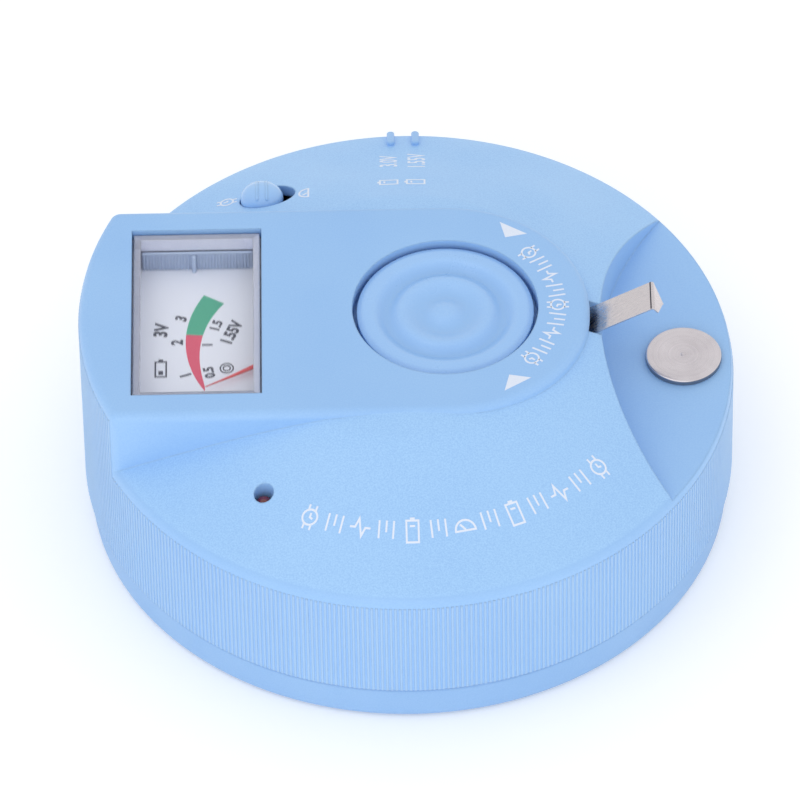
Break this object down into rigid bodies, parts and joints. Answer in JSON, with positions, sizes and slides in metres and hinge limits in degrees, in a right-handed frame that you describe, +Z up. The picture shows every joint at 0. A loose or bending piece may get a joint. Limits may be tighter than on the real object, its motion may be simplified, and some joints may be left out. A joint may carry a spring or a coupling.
{
  "type": "watch and battery tester",
  "caption": "Round bench tester for watches and button cells, with a sloping ribbed case, an analog meter, a watch pad and a sprung contact strip over a contact disc.",
  "frame": {"origin": "centre of the round body, on the surface that the feet stand on", "axes": "+Z up; +X from the meter to the contact disc; +Y to the back, where the range slider is"},
  "size_m": [0.115, 0.115, 0.0466],
  "materials": {
    "case_blue": "fine matte grain",
    "pad_blue": "satin",
    "battery_wrap": "plain wrap",
    "black_plastic": "moulded",
    "white_plastic": "moulded",
    "board_green": "solder mask",
    "resistor_tan": "lacquered",
    "copper": "enamelled wire",
    "ferrite": "sintered",
    "lamp_red": "tinted epoxy",
    "steel": "plated",
    "nickel": "nickel plated",
    "brass": "plain",
    "clear_plastic": "clear moulded",
    "dial_white": "printed card",
    "needle_red": "painted",
    "rubber": "moulded",
    "lead_red": "wire insulation",
    "lead_black": "wire insulation"
  },
  "bodies": {
    "case": {"top_case": "case_blue", "base_cover": "case_blue", "watch_pad": "pad_blue", "battery_9v": "battery_wrap", "battery_snap": "black_plastic", "pcb": "board_green", "ic_chip": "black_plastic", "capacitor_large": "black_plastic", "capacitor_small": "black_plastic", "resistor_1": "resistor_tan", "resistor_2": "resistor_tan", "resistor_3": "resistor_tan", "trimmer": "white_plastic", "buzzer": "black_plastic", "coil_bobbin": "white_plastic", "coil_winding": "copper", "coil_core": "ferrite", "lamp": "lamp_red", "mode_switch": "steel", "range_switch": "steel", "contact_disc": "nickel", "disc_nut": "brass", "strip_anchor": "nickel", "anchor_screw": "steel", "meter_cover": "clear_plastic", "meter_base": "white_plastic", "scale_plate": "dial_white", "meter_terminal_1": "brass", "meter_terminal_2": "brass", "meter_yoke": "steel", "core_magnet": "ferrite", "hairspring": "brass", "meter_bridge": "brass", "foot_1": "rubber", "foot_2": "rubber", "foot_3": "rubber", "foot_4": "rubber", "case_screw_1": "steel", "case_screw_2": "steel", "case_screw_3": "steel", "case_screw_4": "steel", "lead_red": "lead_red", "lead_black": "lead_black"},
    "door": {"battery_door": "case_blue"},
    "mode_slider": {"mode_knob": "case_blue"},
    "range_slider": {"range_knob": "black_plastic"},
    "strip": {"contact_strip": "nickel"},
    "pointer": {"needle": "needle_red", "moving_coil": "copper", "lower_staff": "steel", "upper_staff": "steel"}
  },
  "joints": [
    {"name": "mode_slide", "type": "slide", "parent": "case", "child": "mode_slider", "axis": [1, 0, 0], "range_m": [0, 0.002]},
    {"name": "range_slide", "type": "slide", "parent": "case", "child": "range_slider", "axis": [1, 0, 0], "range_m": [0, 0.0044]},
    {"name": "strip_press", "type": "hinge", "parent": "case", "child": "strip", "pos_m": [0.0293, 0, 0.03846], "axis": [0, 1, 0], "range_deg": [0, 37], "stiffness_Nm_per_rad": 0.02},
    {"name": "needle_swing", "type": "hinge", "parent": "case", "child": "pointer", "pos_m": [-0.0163, 0, 0.0378], "axis": [0, 0, -1], "range_deg": [0, 62.7], "stiffness_Nm_per_rad": 0.00002},
    {"name": "door_slide", "type": "slide", "parent": "case", "child": "door", "axis": [0, 1, 0], "range_m": [0, 0.06]}
  ]
}
